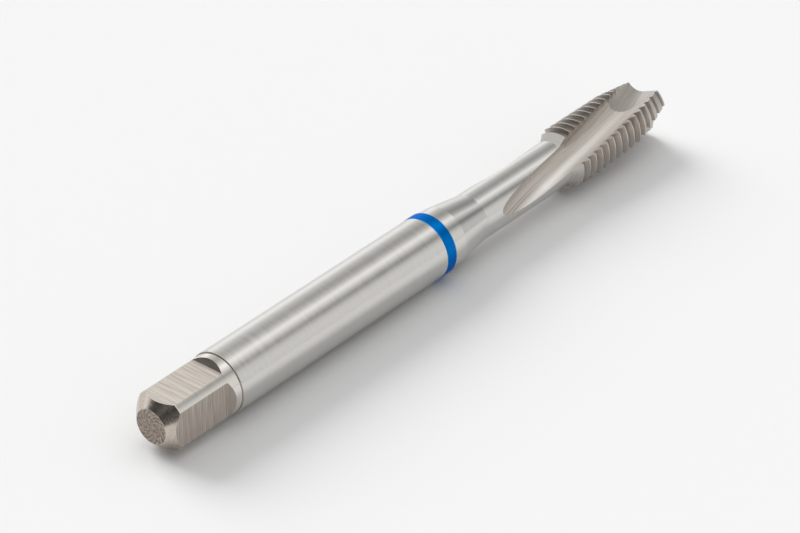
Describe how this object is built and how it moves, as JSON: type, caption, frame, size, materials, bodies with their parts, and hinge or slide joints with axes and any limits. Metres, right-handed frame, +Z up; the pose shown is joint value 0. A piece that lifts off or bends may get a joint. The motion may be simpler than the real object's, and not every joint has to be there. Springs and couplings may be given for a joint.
{
  "type": "machine thread tap",
  "caption": "Spiral point machine tap for a metric M8 x 1.25 thread, with slanting flutes, a reduced neck, a plain shank with a drive square and a blue colour ring.",
  "frame": {"origin": "centre of the bottom of the bounding box, half way along the tap, with the tap lying on its side", "axes": "+X along the tap's axis from the square end to the cutting tip, +Z up, square with two of the drive square's flats"},
  "size_m": [0.09, 0.008, 0.0081],
  "materials": {
    "tool_steel": "fine ground high speed steel, satin",
    "blue_lacquer": "thin satin lacquer band"
  },
  "bodies": {
    "root": {"tap_body": "tool_steel", "colour_ring": "blue_lacquer"}
  },
  "joints": []
}
